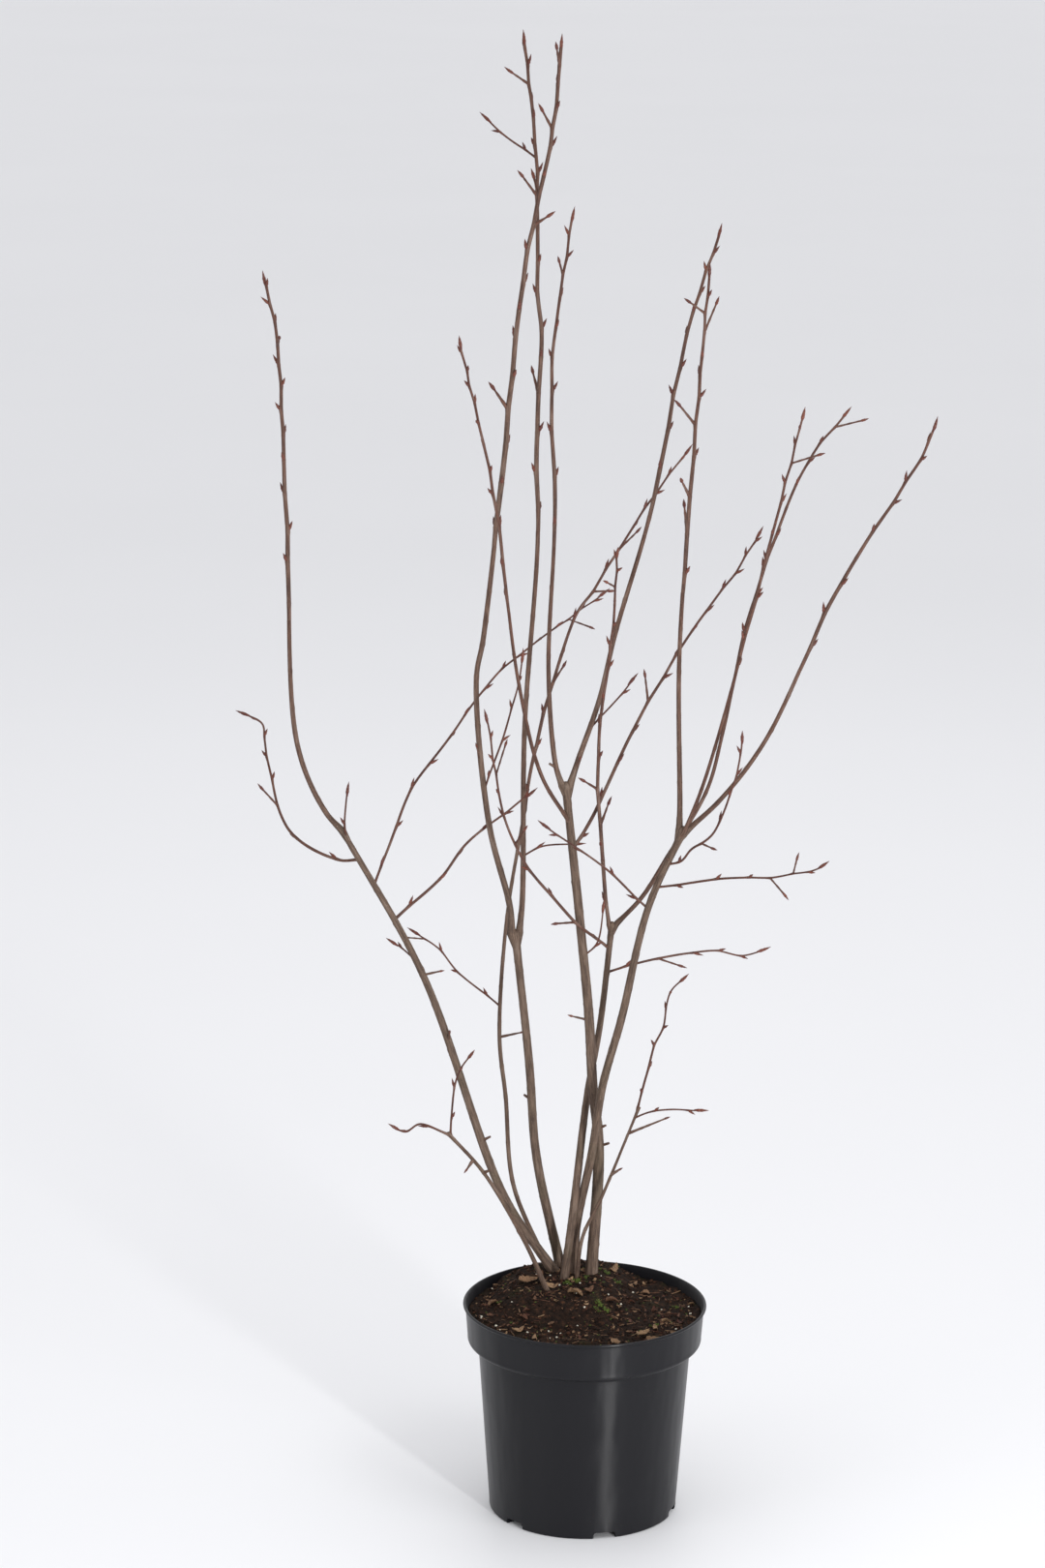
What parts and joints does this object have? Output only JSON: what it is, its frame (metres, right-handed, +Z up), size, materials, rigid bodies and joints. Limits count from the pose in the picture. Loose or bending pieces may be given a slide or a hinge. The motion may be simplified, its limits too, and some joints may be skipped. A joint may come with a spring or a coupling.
{
  "type": "potted juneberry shrub in winter",
  "caption": "Bare multi-stemmed juneberry shrub with pointed winter buds, growing in soil in a round black nursery pot with a collar and notched base.",
  "frame": {"origin": "middle of the pot's flat underside, on the surface that it stands on", "axes": "+Z up, +X to the right and +Y to the back, as seen from the front"},
  "size_m": [0.7217, 0.5027, 1.5646],
  "materials": {
    "pot_plastic": "satin black moulded plastic",
    "potting_soil": "damp peat and bark mix with litter",
    "old_bark": "smooth grey-brown bark with fine streaks",
    "young_bark": "smooth brown bark",
    "twigs_and_buds": "red-brown shoots with pointed buds"
  },
  "bodies": {
    "root": {"bough_inner_right": "young_bark", "bough_left": "young_bark", "bough_middle_front": "young_bark", "bough_middle_left": "young_bark", "bough_middle_right": "young_bark", "bough_right_front": "young_bark", "bough_right_outer": "young_bark", "bough_right_upright": "young_bark", "bough_tall_left": "young_bark", "bough_tall_right": "young_bark", "pot": "pot_plastic", "soil": "potting_soil", "stem_inner": "old_bark", "stem_left": "old_bark", "stem_low_left": "old_bark", "stem_low_right": "old_bark", "stem_middle": "old_bark", "stem_right": "old_bark", "stem_sweeping": "old_bark", "stem_tall": "old_bark", "twigs_inner_forward": "twigs_and_buds", "twigs_inner_left": "twigs_and_buds", "twigs_inner_outward": "twigs_and_buds", "twigs_inner_right": "twigs_and_buds", "twigs_left": "twigs_and_buds", "twigs_left_curl": "twigs_and_buds", "twigs_left_inward": "twigs_and_buds", "twigs_left_long": "twigs_and_buds", "twigs_left_low": "twigs_and_buds", "twigs_left_spur": "twigs_and_buds", "twigs_low_left_tip": "twigs_and_buds", "twigs_low_left_upright": "twigs_and_buds", "twigs_low_right_side": "twigs_and_buds", "twigs_low_right_tip": "twigs_and_buds", "twigs_middle_front": "twigs_and_buds", "twigs_middle_left": "twigs_and_buds", "twigs_middle_low": "twigs_and_buds", "twigs_middle_right": "twigs_and_buds", "twigs_middle_right_low": "twigs_and_buds", "twigs_middle_spur": "twigs_and_buds", "twigs_right_front": "twigs_and_buds", "twigs_right_hook": "twigs_and_buds", "twigs_right_inward": "twigs_and_buds", "twigs_right_outer": "twigs_and_buds", "twigs_right_outward": "twigs_and_buds", "twigs_right_upright": "twigs_and_buds", "twigs_sweeping": "twigs_and_buds", "twigs_sweeping_low": "twigs_and_buds", "twigs_tall_left": "twigs_and_buds", "twigs_tall_left_low": "twigs_and_buds", "twigs_tall_right": "twigs_and_buds", "twigs_tall_right_low": "twigs_and_buds", "twigs_tall_right_top": "twigs_and_buds"}
  },
  "joints": []
}
